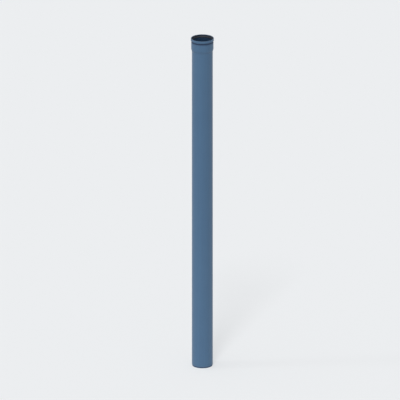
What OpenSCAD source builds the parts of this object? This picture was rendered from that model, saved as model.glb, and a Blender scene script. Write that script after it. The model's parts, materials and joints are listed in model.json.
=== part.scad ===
// Polypropylene sewer pipe: one length of solid-wall pipe with a chamfered spigot at one end and
// a socket formed from the same wall at the other, with a rubber lip ring in the socket's chamber.
// Millimetres. The pipe stands on its spigot end: z = 0 is the spigot tip and +Z runs up to the
// socket rim. Each section is drawn as radius against height and turned about Z.

/* [Pipe] */
// outside diameter of the pipe
pipe_od = 125; // [90:0.5:200]
// wall thickness of the pipe
pipe_wall = 3.9; // [2.5:0.1:8]
// laying length, from the spigot tip to the bottom of the socket's straight bore
laying_length = 2000; // [250:10:6000]

/* [Spigot end] */
// wall left at the tip below the chamfer
tip_wall = 1; // [0.6:0.1:2.4]
// slope of the chamfer from the pipe's axis, in degrees
chamfer_angle = 15; // [10:1:45]

/* [Socket] */
// depth from the rim to the bottom of the straight bore
socket_depth = 68; // [45:1:120]
// clearance all round between the next pipe's spigot and the straight bore
socket_clear = 0.4; // [0.1:0.05:1.5]
// wall of the socket's barrel
socket_wall = 3.9; // [3:0.1:5]
// height of the cone outside, from the barrel down to the pipe
shoulder_h = 15; // [10:0.5:40]
// rounding where the barrel meets the cone outside
shoulder_round = 14; // [2:0.5:30]
// rounding where the cone outside meets the pipe
shoulder_fillet = 14; // [2:0.5:30]
// height of the cone inside that stops the spigot
stop_h = 12; // [8:0.5:40]
// rounding where the straight bore meets the stop cone
stop_fillet = 8; // [2:0.5:20]
// rounding where the stop cone meets the pipe's bore
stop_round = 10; // [2:0.5:20]

/* [Mouth and ring chamber] */
// how far the mouth's wall stands back from the straight bore
mouth_step = 0.9; // [0.3:0.1:1.6]
// rounding of the rim's inner edge
mouth_round = 2.4; // [0.4:0.1:3.2]
// depth of the ring chamber's upper wall below the rim
chamber_top = 4.4; // [2.5:0.1:8]
// height of the ring chamber's straight wall
chamber_h = 8.2; // [6:0.1:16]
// how far the ring chamber's wall stands back from the straight bore
chamber_depth = 3; // [2.5:0.1:6]
// height of the slope from the chamber in to the straight bore
chamber_slope_h = 4; // [1:0.5:10]

/* [Collar round the ring chamber] */
// wall between the ring chamber and the outside of the collar
collar_wall = 2.9; // [2.2:0.1:6]
// rounding of the rim's outer edge
rim_round = 1.6; // [0.5:0.1:2.4]
// how far the collar's straight side reaches below the chamber's straight wall
collar_lap = 1.9; // [0:0.1:8]
// height of the slope below the collar, down to the neck
collar_slope_h = 5.5; // [4:0.5:10]
// rounding of the collar's lower edge
collar_round = 2; // [0.5:0.1:5]
// depth of the neck below the collar, measured in from the barrel
neck_depth = 1.6; // [0.3:0.1:2]
// rounding in the neck
neck_fillet = 3; // [0.5:0.5:5]
// height of the rise from the neck out to the barrel
neck_rise_h = 8; // [4:0.5:15]

/* [Seal ring] */
// clearance between the ring and the chamber's walls
ring_clear = 0.3; // [0.05:0.05:0.5]
// thickness of the ring's body across the radius
ring_body_t = 1.4; // [0.8:0.1:2]
// height of the bead along the ring's upper edge
bead_h = 2.6; // [1.6:0.1:4]
// how far the bead stands back from the straight bore
bead_set_back = 0.5; // [0.2:0.05:1]
// rounding of the bead
bead_round = 0.7; // [0.2:0.1:0.8]
// how far the lip, laid back, stands behind the straight bore
lip_set_back = 0.25; // [0.1:0.05:0.8]
// height of the lip's thick edge
lip_h = 2.2; // [1:0.1:3]
// rounding of the lip's edge
lip_round = 0.5; // [0.1:0.1:0.7]

/* [Hidden] */
$fn = 180;
pipe_r = pipe_od / 2;
pipe_bore_r = pipe_r - pipe_wall;
bore_r = pipe_r + socket_clear;
barrel_r = bore_r + socket_wall;
mouth_r = bore_r + mouth_step;
chamber_r = bore_r + chamber_depth;
collar_r = chamber_r + collar_wall;
ring_r = chamber_r - ring_clear;
bead_r = bore_r + bead_set_back;
lip_r = bore_r + lip_set_back;

chamfer_z = (pipe_wall - tip_wall) / tan(chamfer_angle);
rim_z = laying_length + socket_depth;
chamber_top_z = rim_z - chamber_top;
chamber_low_z = chamber_top_z - chamber_h;
collar_low_z = chamber_low_z - collar_lap;
neck_z = collar_low_z - collar_slope_h;
ring_top_z = chamber_top_z - ring_clear;
bead_low_z = ring_top_z - bead_h;

// Corners of the pipe's section, up the outside, over the rim and down the inside.
tip_in = [pipe_bore_r, 0];
tip_out = [pipe_bore_r + tip_wall, 0];
chamfer_top = [pipe_r, chamfer_z];
shoulder_low = [pipe_r, laying_length - shoulder_h];
barrel_low = [barrel_r, laying_length];
barrel_top = [barrel_r, neck_z - neck_rise_h];
neck = [barrel_r - neck_depth, neck_z];
collar_low = [collar_r, collar_low_z];
rim_out = [collar_r, rim_z];
rim_in = [mouth_r, rim_z];
mouth_low = [mouth_r, chamber_top_z];
chamber_top_out = [chamber_r, chamber_top_z];
chamber_low = [chamber_r, chamber_low_z];
bore_top = [bore_r, chamber_low_z - chamber_slope_h];
bore_low = [bore_r, laying_length];
stop_low = [pipe_bore_r, laying_length - stop_h];

// Unit vector from one point to another.
function toward(from, to) = (to - from) / norm(to - from);

// Half of the angle between the two edges that meet at a corner.
function half_angle(before, corner, after) =
    acos(toward(corner, before) * toward(corner, after)) / 2;

// Centre of the arc of radius r that touches both edges of a corner.
function arc_centre(before, corner, after, r) =
    corner + toward([0, 0], toward(corner, before) + toward(corner, after))
    * (r / sin(half_angle(before, corner, after)));

// Corners of the ring's section. Its foot lies along the chamber's slope, clear of both walls.
foot_out = arc_centre(chamber_top_out, chamber_low, bore_top, ring_clear);
foot_in = foot_out + (bore_top - chamber_low) * ((ring_r - lip_r) / chamber_depth);
lip_top = foot_in + [0, lip_h];
body_in = [ring_r - ring_body_t, bead_low_z];
bead_low = [bead_r, bead_low_z];
bead_top = [bead_r, ring_top_z];
ring_top_out = [ring_r, ring_top_z];

// The arc's two touching points with its centre between them. In an outline these stand for an
// inside corner that is filled out as far as the centre, ready for the arc to be cut.
function arc_frame(before, corner, after, r) =
    let (reach = r / tan(half_angle(before, corner, after)))
    [
        corner + toward(corner, before) * reach,
        arc_centre(before, corner, after, r),
        corner + toward(corner, after) * reach
    ];

// Rounds an inside corner: the disc that cuts its filled outline back to the arc.
module inside_arc(before, corner, after, r) {
    translate(arc_centre(before, corner, after, r))
        circle(r = r);
}

// Rounds an outside corner: the sliver between its point and the arc.
module outside_arc(before, corner, after, r) {
    difference() {
        polygon([corner, each arc_frame(before, corner, after, r)]);
        inside_arc(before, corner, after, r);
    }
}

// Wall of the pipe from the spigot tip to the socket rim.
module pipe_section() {
    difference() {
        polygon([
            tip_in,
            tip_out,
            chamfer_top,
            each arc_frame(chamfer_top, shoulder_low, barrel_low, shoulder_fillet),
            barrel_low,
            barrel_top,
            each arc_frame(barrel_top, neck, collar_low, neck_fillet),
            collar_low,
            rim_out,
            rim_in,
            mouth_low,
            chamber_top_out,
            chamber_low,
            bore_top,
            each arc_frame(bore_top, bore_low, stop_low, stop_fillet),
            stop_low
        ]);
        inside_arc(chamfer_top, shoulder_low, barrel_low, shoulder_fillet);
        outside_arc(shoulder_low, barrel_low, barrel_top, shoulder_round);
        inside_arc(barrel_top, neck, collar_low, neck_fillet);
        outside_arc(neck, collar_low, rim_out, collar_round);
        outside_arc(collar_low, rim_out, rim_in, rim_round);
        outside_arc(rim_out, rim_in, mouth_low, mouth_round);
        inside_arc(bore_top, bore_low, stop_low, stop_fillet);
        outside_arc(bore_low, stop_low, tip_in, stop_round);
    }
}

// Lip ring as it lies with a spigot in place: a bead above, and the lip laid back below.
module ring_section() {
    difference() {
        polygon([foot_out, ring_top_out, bead_top, bead_low, body_in, lip_top, foot_in]);
        outside_arc(ring_top_out, bead_top, bead_low, bead_round);
        outside_arc(bead_top, bead_low, body_in, bead_round);
        outside_arc(body_in, lip_top, foot_in, lip_round);
        outside_arc(lip_top, foot_in, foot_out, lip_round);
    }
}

// The pipe: extruded wall, cut and chamfered spigot, and formed socket, all one piece.
module pipe() {
    color("steelblue")
        rotate_extrude()
            pipe_section();
}

// The rubber ring that seals the socket on the next pipe.
module seal_ring() {
    color("dimgray")
        rotate_extrude()
            ring_section();
}

pipe();
seal_ring();
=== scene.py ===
"""Polypropylene sewer pipe standing on its spigot end, seen from a little above.

The pipe and its seal ring are turned surfaces: a section drawn as radius against height, with every
bend as an arc, carried round the pipe's axis. Lengths are metres.
"""
import json
import math

import bpy
import numpy as np
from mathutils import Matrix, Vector


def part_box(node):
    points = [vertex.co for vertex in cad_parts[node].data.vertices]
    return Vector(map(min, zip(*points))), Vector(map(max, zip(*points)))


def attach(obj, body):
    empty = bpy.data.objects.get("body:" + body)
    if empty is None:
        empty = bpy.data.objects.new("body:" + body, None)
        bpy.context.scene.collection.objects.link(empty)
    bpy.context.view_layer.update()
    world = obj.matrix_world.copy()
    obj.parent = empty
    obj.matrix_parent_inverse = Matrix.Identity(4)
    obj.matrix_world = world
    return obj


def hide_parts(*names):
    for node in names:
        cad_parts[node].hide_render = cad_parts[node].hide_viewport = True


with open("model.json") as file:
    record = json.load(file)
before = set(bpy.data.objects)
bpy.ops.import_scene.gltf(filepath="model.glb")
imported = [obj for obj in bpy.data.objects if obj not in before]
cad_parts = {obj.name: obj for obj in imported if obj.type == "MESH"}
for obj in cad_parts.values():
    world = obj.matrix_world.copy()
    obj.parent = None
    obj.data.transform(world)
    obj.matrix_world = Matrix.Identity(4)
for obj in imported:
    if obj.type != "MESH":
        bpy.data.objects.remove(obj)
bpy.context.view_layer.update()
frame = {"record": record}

MM = 0.001
TURN_STEPS = 256        # facets round the pipe
ARC_STEP_DEG = 6.0      # largest turn between two points of a bend
HOLD = 0.4 * MM         # distance of a straight run's first ring from a bend
HOLD_SHARE = 0.45       # share of a straight run that the rings from one bend may take up

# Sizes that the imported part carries
MOUNTS = {mount["name"]: mount for mount in frame["record"]["mounts"]}
PIPE_R = MOUNTS["spigot"]["dims"]["r_mm"] * MM
BORE_R = MOUNTS["socket"]["dims"]["r_mm"] * MM
PIPE_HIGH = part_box("pipe")[1]
RIM_Z = PIPE_HIGH[2]
COLLAR_R = PIPE_HIGH[0]

# Sizes of the pipe's section
PIPE_WALL = 3.9 * MM
TIP_WALL = 1 * MM
CHAMFER_ANGLE = math.radians(15)
TIP_ROUND = 0.35 * MM
CHAMFER_ROUND = 1.2 * MM
SOCKET_DEPTH = 68 * MM
SOCKET_WALL = 3.9 * MM
SHOULDER_H = 15 * MM
SHOULDER_ROUND = 14 * MM
STOP_H = 12 * MM
STOP_FILLET = 8 * MM
STOP_ROUND = 10 * MM
MOUTH_STEP = 0.9 * MM
MOUTH_ROUND = 2.4 * MM
CHAMBER_TOP = 4.4 * MM
CHAMBER_H = 8.2 * MM
CHAMBER_DEPTH = 3 * MM
CHAMBER_SLOPE_H = 4 * MM
CHAMBER_ROUND = 0.4 * MM
RIM_ROUND = 1.6 * MM
COLLAR_LAP = 1.9 * MM
COLLAR_SLOPE_H = 5.5 * MM
COLLAR_ROUND = 2 * MM
NECK_DEPTH = 1.6 * MM
NECK_FILLET = 3 * MM
NECK_RISE_H = 8 * MM

# Sizes of the seal ring's section, with its lip standing free
RING_BODY_T = 1.5 * MM
BEAD_H = 2.6 * MM
BEAD_ROUND = 0.7 * MM
BEAD_SET_BACK = 0.5 * MM
LIP_REACH = 2.1 * MM
LIP_T = 1.3 * MM
LIP_ROUND = 0.5 * MM
RING_SEAT = 0.05 * MM
RING_EDGE_ROUND = 0.2 * MM
RING_NECK_ROUND = 0.3 * MM

# Levels down the pipe
LAY_Z = RIM_Z - SOCKET_DEPTH
CHAMBER_TOP_Z = RIM_Z - CHAMBER_TOP
CHAMBER_LOW_Z = CHAMBER_TOP_Z - CHAMBER_H
COLLAR_LOW_Z = CHAMBER_LOW_Z - COLLAR_LAP
NECK_Z = COLLAR_LOW_Z - COLLAR_SLOPE_H
CHAMFER_Z = (PIPE_WALL - TIP_WALL) / math.tan(CHAMFER_ANGLE)

# Radii of the pipe
PIPE_BORE_R = PIPE_R - PIPE_WALL
BARREL_R = BORE_R + SOCKET_WALL
MOUTH_R = BORE_R + MOUTH_STEP
CHAMBER_R = BORE_R + CHAMBER_DEPTH

# Colours, as sRGB
WALL_DEEP = "456788"
WALL_PALE = "4A6D8D"
# Painted shade: a deeper blue for the inside and the rim's top
BORE_PAINTED_SHADE = "28415D"
# Painted shade for the neck under the collar
NECK_PAINTED_SHADE = "172C4A"
# Painted shade for the turned chamfer, in two tones for its turning rings
CUT_SHADED_DEEP = "2D4968"
CUT_SHADED_PALE = "395878"
# Painted highlight for the chamfer's upper edge
EDGE_PAINTED_HIGHLIGHT = "7F9CB8"
RUBBER_BLACK = "12171F"
RUBBER_BLOOM = "252D38"
FLOOR_PALE = "ECEEF0"
FLOOR_FAR = "C6C8CA"

# Light: the sky's strength and how far it leans to the left, the suns' strengths and elevations in
# degrees, and the share of the floor's paleness that is its own
SKY = 0.60
SKY_LEAN = 0.5
KEY = 1.2
KEY_ELEVATION = 50
SIDE = 0.2
SIDE_ELEVATION = 58
FLOOR_OWN_SHARE = 0.6
# Distances from the pipe between which the floor goes from its full paleness to its far one
FLOOR_FADE_START = 0.5
FLOOR_FADE_END = 3.0

# Half height of the painted shade in the neck
NECK_SHADE_H = 6.5 * MM
# Half height of the painted highlight along the chamfer's upper edge
EDGE_HIGHLIGHT_H = 0.8 * MM


def srgb(hex_colour):
    """Linear RGBA of an sRGB hex colour such as 506B88."""
    channels = [int(hex_colour[i:i + 2], 16) / 255 for i in (0, 2, 4)]
    return [c / 12.92 if c <= 0.04045 else ((c + 0.055) / 1.055) ** 2.4 for c in channels] + [1.0]


def rounded_outline(corners):
    """Closed outline of (radius, height, rounding) corners as points (n, 2).

    Each corner becomes an arc that touches both of its edges: the arc's centre lies on the corner's
    bisector at rounding / sin(half angle), and it sweeps the angle that the edges turn. Every straight
    run gets points at distances that double from each of its ends, until shortly before its middle.
    """
    points = np.array([c[:2] for c in corners])
    radii = np.array([c[2] for c in corners])
    to_before = np.roll(points, 1, axis=0) - points
    to_after = np.roll(points, -1, axis=0) - points
    to_before /= np.linalg.norm(to_before, axis=1, keepdims=True)
    to_after /= np.linalg.norm(to_after, axis=1, keepdims=True)
    half = np.arccos(np.clip((to_before * to_after).sum(axis=1), -1, 1)) / 2
    bisector = to_before + to_after
    bisector /= np.linalg.norm(bisector, axis=1, keepdims=True)
    runs = []
    for corner, radius, before, after, half_angle, middle in zip(
            points, radii, to_before, to_after, half, bisector):
        centre = corner + middle * radius / math.sin(half_angle)
        reach = radius / math.tan(half_angle)
        start = corner + before * reach - centre
        end = corner + after * reach - centre
        sweep = math.pi - 2 * half_angle
        share = np.linspace(0, 1, max(3, math.ceil(math.degrees(sweep) / ARC_STEP_DEG) + 1))[:, None]
        arc = (np.sin((1 - share) * sweep) * start + np.sin(share * sweep) * end) / math.sin(sweep)
        runs.append(centre + arc)
    held = []
    for run, following in zip(runs, runs[1:] + runs[:1]):
        held.append(run)
        step = following[0] - run[-1]
        length = np.linalg.norm(step)
        away = HOLD * 2.0 ** np.arange(math.ceil(math.log2(max(length / HOLD, 1))))
        away = away[away < HOLD_SHARE * length]
        held.append(run[-1] + step * np.concatenate([away, length - away[::-1]])[:, None] / length)
    return np.concatenate(held)


def turned(name, corners, marks=None):
    """Surface of revolution: the outline's points at radius r and height z go to
    (r cos t, r sin t, z) for every angle t of a full turn, and the grid wraps both ways.

    Each mark is a function of the outline's heights and of how far its surface faces away from the axis
    (1 straight out, -1 straight in), and is kept on the mesh as an attribute for the material.
    """
    outline = rounded_outline(corners)
    t = np.linspace(0, 2 * math.pi, TURN_STEPS, endpoint=False)[:, None]
    r, z = outline.T
    grid = np.stack([r * np.cos(t), r * np.sin(t), np.broadcast_to(z, (TURN_STEPS, len(z)))], axis=-1)
    index = np.arange(grid.shape[0] * grid.shape[1]).reshape(grid.shape[:2])
    round_on = np.roll(index, -1, axis=0)
    along = np.roll(index, -1, axis=1)
    both = np.roll(round_on, -1, axis=1)
    faces = np.stack([index, round_on, both, along], axis=-1).reshape(-1, 4)
    mesh = bpy.data.meshes.new(name)
    mesh.from_pydata(grid.reshape(-1, 3).tolist(), [], faces.tolist())
    mesh.shade_smooth()
    step = np.roll(outline, -1, axis=0) - np.roll(outline, 1, axis=0)
    outward = step[:, 1] / np.linalg.norm(step, axis=1)
    for mark, share in (marks or {}).items():
        layer = mesh.attributes.new(mark, "FLOAT", "POINT")
        layer.data.foreach_set("value", np.tile(share(z, outward), TURN_STEPS))
    piece = bpy.data.objects.new(name, mesh)
    bpy.context.collection.objects.link(piece)
    return piece


def inside(z, outward):
    """1.2 times the share by which the wall turns from facing away, at most 1: 1 where it faces the axis and
    on top of the rim, easing to 0 where it faces away."""
    return np.clip(1.2 * (1 - outward), 0, 1)


def neck_shade(z, outward):
    """Bell curve about the neck's height, on the outside only: where shade is painted in the neck."""
    return np.where(outward > 0, np.exp(-((z - NECK_Z) / NECK_SHADE_H) ** 2), 0)


def edge_highlight(z, outward):
    """Bell curve about the chamfer's upper edge, on the outside only: where a highlight is painted."""
    return np.where(outward > 0, np.exp(-((z - CHAMFER_Z) / EDGE_HIGHLIGHT_H) ** 2), 0)


def cut(z, outward):
    """1 on the spigot's chamfer and tip, which are turned after the pipe is sawn, and where the material
    paints shade.
    """
    return np.where((z < CHAMFER_Z) & (outward > -0.5), 1.0, 0.0)


def pipe_corners():
    """Section of the pipe: up the outside from the spigot tip, over the rim and down the inside."""
    return [
        (PIPE_BORE_R, 0, TIP_ROUND),
        (PIPE_BORE_R + TIP_WALL, 0, TIP_ROUND),
        (PIPE_R, CHAMFER_Z, CHAMFER_ROUND),
        (PIPE_R, LAY_Z - SHOULDER_H, SHOULDER_ROUND),
        (BARREL_R, LAY_Z, SHOULDER_ROUND),
        (BARREL_R, NECK_Z - NECK_RISE_H, NECK_FILLET),
        (BARREL_R - NECK_DEPTH, NECK_Z, NECK_FILLET),
        (COLLAR_R, COLLAR_LOW_Z, COLLAR_ROUND),
        (COLLAR_R, RIM_Z, RIM_ROUND),
        (MOUTH_R, RIM_Z, MOUTH_ROUND),
        (MOUTH_R, CHAMBER_TOP_Z, CHAMBER_ROUND),
        (CHAMBER_R, CHAMBER_TOP_Z, CHAMBER_ROUND),
        (CHAMBER_R, CHAMBER_LOW_Z, CHAMBER_ROUND),
        (BORE_R, CHAMBER_LOW_Z - CHAMBER_SLOPE_H, CHAMBER_ROUND),
        (BORE_R, LAY_Z, STOP_FILLET),
        (PIPE_BORE_R, LAY_Z - STOP_H, STOP_ROUND),
    ]


def ring_corners():
    """Section of the lip ring: body against the chamber's wall, bead above, lip standing in below."""
    ring_r = CHAMBER_R - RING_SEAT
    top = CHAMBER_TOP_Z - RING_SEAT
    low = CHAMBER_LOW_Z + RING_SEAT
    bead_r = BORE_R + BEAD_SET_BACK
    lip_r = BORE_R - LIP_REACH
    lip_z = low - CHAMBER_SLOPE_H
    return [
        (ring_r, low, RING_EDGE_ROUND),
        (ring_r, top, RING_EDGE_ROUND),
        (bead_r, top, BEAD_ROUND),
        (bead_r, top - BEAD_H, BEAD_ROUND),
        (ring_r - RING_BODY_T, top - BEAD_H, RING_NECK_ROUND),
        (lip_r, lip_z + LIP_T, LIP_ROUND),
        (lip_r, lip_z, LIP_ROUND),
    ]


def add_node(tree, kind, settings, inputs):
    """Adds a node of a kind with its settings. Each input, by name or place, is linked where it is given
    a socket of another node and set where it is given a value.

    A Mix node's places are 0 for the factor, 6 and 7 for two colours, and 2 and 3 for two numbers. Its
    colour comes out at 2 and its number at 0.
    """
    node = tree.nodes.new(kind)
    for key, value in settings.items():
        setattr(node, key, value)
    for key, value in inputs.items():
        if isinstance(value, bpy.types.NodeSocket):
            tree.links.new(value, node.inputs[key])
        else:
            node.inputs[key].default_value = value
    return node


def new_material(name):
    """A material with its tree and its Principled shader."""
    material = bpy.data.materials.new(name)
    material.use_nodes = True
    tree = material.node_tree
    return material, tree, tree.nodes["Principled BSDF"]


def polypropylene():
    """Blue polypropylene, extruded through a ring die, drawn off along its length and cooled in water.

    It gives a satin wall with faint streaks along the pipe, slightly cloudy pigment and a shallow
    waviness. The spigot's chamfer is turned, so it is duller and carries fine rings; it is also
    painted darker as shade, with a painted highlight along its upper edge. The inside and the rim's
    top are painted a deeper blue as shade, and shade is painted into the neck under the collar.
    """
    material, tree, shader = new_material("blue_polypropylene_extruded")
    shader.inputs["IOR"].default_value = 1.49
    place = add_node(tree, "ShaderNodeTexCoord", {}, {}).outputs["Object"]
    # Die streaks are about 1 mm wide: 7 mm here, to show at this distance, and 90 times as long.
    streak_w = 7 * MM
    streak_stretch = 90
    along = add_node(tree, "ShaderNodeMapping", {}, {"Vector": place, "Scale": (1, 1, 1 / streak_stretch)})
    streaks = add_node(tree, "ShaderNodeTexNoise", {}, {
        "Vector": along.outputs["Vector"], "Scale": 1 / streak_w, "Detail": 3, "Roughness": 0.6})
    # Pigment that mixed unevenly lies in clouds about 120 mm across.
    cloud_w = 120 * MM
    clouds = add_node(tree, "ShaderNodeTexNoise", {}, {
        "Vector": place, "Scale": 1 / cloud_w, "Detail": 4, "Roughness": 0.55})
    # Waves of the cooled wall are about 12 mm across.
    wave_w = 12 * MM
    waves = add_node(tree, "ShaderNodeTexNoise", {}, {
        "Vector": place, "Scale": 1 / wave_w, "Detail": 2, "Roughness": 0.5})
    # Turning marks on the chamfer have a pitch of about 0.3 mm: 1.5 mm here, to show. The texture's wave
    # turns through 20 radians in one unit of its scale.
    mark_pitch = 1.5 * MM
    rings = add_node(tree, "ShaderNodeTexWave", {"wave_type": "BANDS", "bands_direction": "Z"}, {
        "Vector": place, "Scale": 2 * math.pi / (20 * mark_pitch), "Distortion": 0.4, "Detail": 1.0})
    inside_mark = add_node(tree, "ShaderNodeAttribute", {"attribute_name": "inside"}, {})
    neck_shade_mark = add_node(tree, "ShaderNodeAttribute", {"attribute_name": "neck_shade"}, {})
    cut_mark = add_node(tree, "ShaderNodeAttribute", {"attribute_name": "cut"}, {})
    edge_highlight_mark = add_node(tree, "ShaderNodeAttribute", {"attribute_name": "edge_highlight"}, {})

    pigment = add_node(tree, "ShaderNodeMix", {"data_type": "RGBA"}, {
        0: clouds.outputs["Fac"], 6: srgb(WALL_DEEP), 7: srgb(WALL_PALE)})
    streaked = add_node(tree, "ShaderNodeMapRange", {}, {
        "Value": streaks.outputs["Fac"], "From Min": 0.3, "From Max": 0.7, "To Min": 0.96, "To Max": 1.04})
    outer = add_node(tree, "ShaderNodeMix", {"data_type": "RGBA", "blend_type": "MULTIPLY"}, {
        0: 1.0, 6: pigment.outputs[2], 7: streaked.outputs["Result"]})
    # Painted shade: the inside and the rim's top get a deeper blue
    wall = add_node(tree, "ShaderNodeMix", {"data_type": "RGBA"}, {
        0: inside_mark.outputs["Fac"], 6: outer.outputs[2], 7: srgb(BORE_PAINTED_SHADE)})
    # Painted shade in the neck, in patches as wide as the waves.
    patchy = add_node(tree, "ShaderNodeMapRange", {}, {
        "Value": waves.outputs["Fac"], "From Min": 0.3, "From Max": 0.7, "To Min": 0.85, "To Max": 1.1})
    neck_shade_amount = add_node(tree, "ShaderNodeMath", {"operation": "MULTIPLY"}, {
        0: neck_shade_mark.outputs["Fac"], 1: patchy.outputs["Result"]})
    neck_shaded = add_node(tree, "ShaderNodeMix", {"data_type": "RGBA"}, {
        0: neck_shade_amount.outputs["Value"], 6: wall.outputs[2], 7: srgb(NECK_PAINTED_SHADE)})
    # Painted shade: the chamfer and tip are darker, banded by the turning rings
    ridged = add_node(tree, "ShaderNodeMix", {"data_type": "RGBA"}, {
        0: rings.outputs["Fac"], 6: srgb(CUT_SHADED_DEEP), 7: srgb(CUT_SHADED_PALE)})
    shaded_turned_end = add_node(tree, "ShaderNodeMix", {"data_type": "RGBA"}, {
        0: cut_mark.outputs["Fac"], 6: neck_shaded.outputs[2], 7: ridged.outputs[2]})
    # Painted highlight: a light line along the chamfer's upper edge, in clouds
    edge_highlight_amount = add_node(tree, "ShaderNodeMath", {"operation": "MULTIPLY"}, {
        0: edge_highlight_mark.outputs["Fac"], 1: clouds.outputs["Fac"]})
    edge_highlighted = add_node(tree, "ShaderNodeMix", {"data_type": "RGBA"}, {
        0: edge_highlight_amount.outputs["Value"], 6: shaded_turned_end.outputs[2], 7: srgb(EDGE_PAINTED_HIGHLIGHT)})
    tree.links.new(edge_highlighted.outputs[2], shader.inputs["Base Color"])

    satin = add_node(tree, "ShaderNodeMapRange", {}, {
        "Value": streaks.outputs["Fac"], "From Min": 0.3, "From Max": 0.7, "To Min": 0.38, "To Max": 0.5})
    dull = add_node(tree, "ShaderNodeMath", {"operation": "MAXIMUM"}, {
        0: neck_shade_mark.outputs["Fac"], 1: cut_mark.outputs["Fac"]})
    rough = add_node(tree, "ShaderNodeMix", {"data_type": "FLOAT"}, {
        0: dull.outputs["Value"], 2: satin.outputs["Result"], 3: 0.7})
    tree.links.new(rough.outputs[0], shader.inputs["Roughness"])

    wave_h = 0.15 * MM
    mark_h_share = 0.25
    turned_rings = add_node(tree, "ShaderNodeMath", {"operation": "MULTIPLY"}, {
        0: rings.outputs["Fac"], 1: cut_mark.outputs["Fac"]})
    relief = add_node(tree, "ShaderNodeMath", {"operation": "MULTIPLY_ADD"}, {
        0: turned_rings.outputs["Value"], 1: mark_h_share, 2: waves.outputs["Fac"]})
    bump = add_node(tree, "ShaderNodeBump", {}, {
        "Strength": 0.5, "Distance": wave_h, "Height": relief.outputs["Value"]})
    tree.links.new(bump.outputs["Normal"], shader.inputs["Normal"])
    return material


def rubber():
    """Black EPDM rubber, moulded: matt, finely grained, with a grey bloom in patches."""
    material, tree, shader = new_material("black_rubber_moulded")
    shader.inputs["IOR"].default_value = 1.52
    place = add_node(tree, "ShaderNodeTexCoord", {}, {}).outputs["Object"]
    # Patches of bloom are about 25 mm across.
    bloom_w = 25 * MM
    bloom = add_node(tree, "ShaderNodeTexNoise", {}, {
        "Vector": place, "Scale": 1 / bloom_w, "Detail": 4, "Roughness": 0.6})
    # Mould grain is about 0.1 mm: 0.8 mm here, to show.
    grain_w = 0.8 * MM
    grain_h = 0.08 * MM
    grain = add_node(tree, "ShaderNodeTexNoise", {}, {
        "Vector": place, "Scale": 1 / grain_w, "Detail": 2, "Roughness": 0.5})
    black = add_node(tree, "ShaderNodeMix", {"data_type": "RGBA"}, {
        0: bloom.outputs["Fac"], 6: srgb(RUBBER_BLACK), 7: srgb(RUBBER_BLOOM)})
    tree.links.new(black.outputs[2], shader.inputs["Base Color"])
    matt = add_node(tree, "ShaderNodeMapRange", {}, {
        "Value": bloom.outputs["Fac"], "From Min": 0.3, "From Max": 0.7, "To Min": 0.55, "To Max": 0.75})
    tree.links.new(matt.outputs["Result"], shader.inputs["Roughness"])
    bump = add_node(tree, "ShaderNodeBump", {}, {
        "Strength": 0.4, "Distance": grain_h, "Height": grain.outputs["Fac"]})
    tree.links.new(bump.outputs["Normal"], shader.inputs["Normal"])
    return material


def seen_rays(tree):
    """1 for camera, glossy and transmission rays, which show a backdrop; 0 for the rays that light."""
    path = add_node(tree, "ShaderNodeLightPath", {}, {})
    shiny = add_node(tree, "ShaderNodeMath", {"operation": "MAXIMUM"}, {
        0: path.outputs["Is Glossy Ray"], 1: path.outputs["Is Transmission Ray"]})
    return add_node(tree, "ShaderNodeMath", {"operation": "MAXIMUM"}, {
        0: path.outputs["Is Camera Ray"], 1: shiny.outputs["Value"]}).outputs["Value"]


def floor_light():
    """Light that falls on the floor, where 1 shows a colour as it is written: the sky's strength, and for
    each sun its strength times the sine of its elevation over pi."""
    suns = ((KEY, KEY_ELEVATION), (SIDE, SIDE_ELEVATION))
    return SKY + sum(strength * math.sin(math.radians(elevation)) for strength, elevation in suns) / math.pi


def stage_floor():
    """Pale floor, wide enough to fill the view. Part of the paleness that is seen is its own, so that
    only the suns' shadows show on it. The light that it throws up is strongest round the pipe, as in a
    studio whose lamps are aimed there."""
    reach = 40.0
    mesh = bpy.data.meshes.new("floor")
    mesh.from_pydata([(-reach, -reach, 0), (reach, -reach, 0), (reach, reach, 0), (-reach, reach, 0)], [],
                     [(0, 1, 2, 3)])
    floor = bpy.data.objects.new("floor", mesh)
    bpy.context.collection.objects.link(floor)
    material = bpy.data.materials.new("pale_floor")
    material.use_nodes = True
    tree = material.node_tree
    tree.nodes.clear()
    own = add_node(tree, "ShaderNodeEmission", {}, {"Color": srgb(FLOOR_PALE), "Strength": FLOOR_OWN_SHARE})
    lit_share = (1 - FLOOR_OWN_SHARE) / floor_light()
    shaded = add_node(tree, "ShaderNodeBsdfDiffuse", {}, {
        "Color": [c * lit_share for c in srgb(FLOOR_PALE)[:3]] + [1.0]})
    seen = add_node(tree, "ShaderNodeAddShader", {}, {0: own.outputs[0], 1: shaded.outputs[0]})
    distance = add_node(tree, "ShaderNodeVectorMath", {"operation": "LENGTH"}, {
        0: add_node(tree, "ShaderNodeTexCoord", {}, {}).outputs["Object"]})
    fade = add_node(tree, "ShaderNodeMapRange", {"interpolation_type": "SMOOTHSTEP"}, {
        "Value": distance.outputs["Value"], "From Min": FLOOR_FADE_START, "From Max": FLOOR_FADE_END})
    thrown = add_node(tree, "ShaderNodeMix", {"data_type": "RGBA"}, {
        0: fade.outputs["Result"], 6: srgb(FLOOR_PALE), 7: srgb(FLOOR_FAR)})
    bounce = add_node(tree, "ShaderNodeBsdfDiffuse", {}, {"Color": thrown.outputs[2]})
    either = add_node(tree, "ShaderNodeMixShader", {}, {
        0: seen_rays(tree), 1: bounce.outputs[0], 2: seen.outputs[0]})
    add_node(tree, "ShaderNodeOutputMaterial", {}, {"Surface": either.outputs[0]})
    floor.data.materials.append(material)


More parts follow.
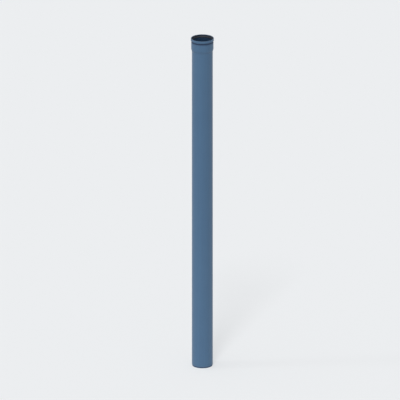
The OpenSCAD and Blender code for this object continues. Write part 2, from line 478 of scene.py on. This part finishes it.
def sun(name, strength, azimuth, elevation, spread):
    """A sun whose light comes from an azimuth (0 is the camera's side, positive to the right) and an
    elevation. Its spread softens the shadow. All three are in degrees."""
    lamp = bpy.data.lights.new(name, "SUN")
    lamp.energy = strength
    lamp.angle = math.radians(spread)
    light = bpy.data.objects.new(name, lamp)
    a, e = math.radians(azimuth), math.radians(elevation)
    toward = Vector((math.sin(a) * math.cos(e), -math.cos(a) * math.cos(e), math.sin(e)))
    light.rotation_euler = toward.to_track_quat("Z", "Y").to_euler()
    bpy.context.collection.objects.link(light)


def studio():
    """Sky that brightens to the camera's left, a soft key from there and a weak light from the side."""
    world = bpy.data.worlds.new("studio")
    world.use_nodes = True
    bpy.context.scene.world = world
    tree = world.node_tree
    lit = tree.nodes["Background"]
    lit.inputs["Color"].default_value = (1, 1, 1, 1)
    across = add_node(tree, "ShaderNodeSeparateXYZ", {}, {
        0: add_node(tree, "ShaderNodeTexCoord", {}, {}).outputs["Generated"]})
    strength = add_node(tree, "ShaderNodeMapRange", {}, {
        "Value": across.outputs["X"], "From Min": -1.0, "From Max": 1.0,
        "To Min": SKY * (1 + SKY_LEAN), "To Max": SKY * (1 - SKY_LEAN)})
    tree.links.new(strength.outputs["Result"], lit.inputs["Strength"])
    backdrop = add_node(tree, "ShaderNodeBackground", {}, {"Color": srgb(FLOOR_PALE), "Strength": 1.0})
    either = add_node(tree, "ShaderNodeMixShader", {}, {
        0: seen_rays(tree), 1: lit.outputs[0], 2: backdrop.outputs[0]})
    tree.links.new(either.outputs[0], tree.nodes["World Output"].inputs["Surface"])
    sun("key", KEY, azimuth=-10.5, elevation=KEY_ELEVATION, spread=11.5)
    sun("side", SIDE, azimuth=-85, elevation=SIDE_ELEVATION, spread=6)


def camera():
    """Parallel view from the photo's height, placed by where the pipe's axis and the rim's centre lie in
    the photo and by the pixels between the rim's centre and the tip's."""
    elevation = math.radians(18.9)
    axis_pixel_x = 202.36
    rim_pixel_y = 38.0
    rim_to_tip_pixels = 327.05
    frame_pixels = 400
    pixels_per_metre = rim_to_tip_pixels / (RIM_Z * math.cos(elevation))
    data = bpy.data.cameras.new("camera")
    data.type = "ORTHO"
    data.ortho_scale = frame_pixels / pixels_per_metre
    view = bpy.data.objects.new("camera", data)
    bpy.context.collection.objects.link(view)
    back = Vector((0, -math.cos(elevation), math.sin(elevation)))
    up = Vector((0, math.sin(elevation), math.cos(elevation)))
    across = (frame_pixels / 2 - axis_pixel_x) / pixels_per_metre
    down = (frame_pixels / 2 - rim_pixel_y) / pixels_per_metre
    distance = 12.0
    view.location = Vector((across, 0, 0)) + Vector((0, 0, RIM_Z)) - up * down + back * distance
    view.rotation_euler = back.to_track_quat("Z", "Y").to_euler()
    data.clip_end = 100
    bpy.context.scene.camera = view


camera()
studio()
stage_floor()

pipe = turned("pipe_wall", pipe_corners(), {"inside": inside, "neck_shade": neck_shade, "edge_highlight": edge_highlight, "cut": cut})
pipe.data.materials.append(polypropylene())
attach(pipe, "root")
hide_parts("pipe")

ring = turned("lip_ring", ring_corners())
ring.data.materials.append(rubber())
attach(ring, "root")
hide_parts("seal_ring")

bpy.context.scene.view_settings.view_transform = "Standard"
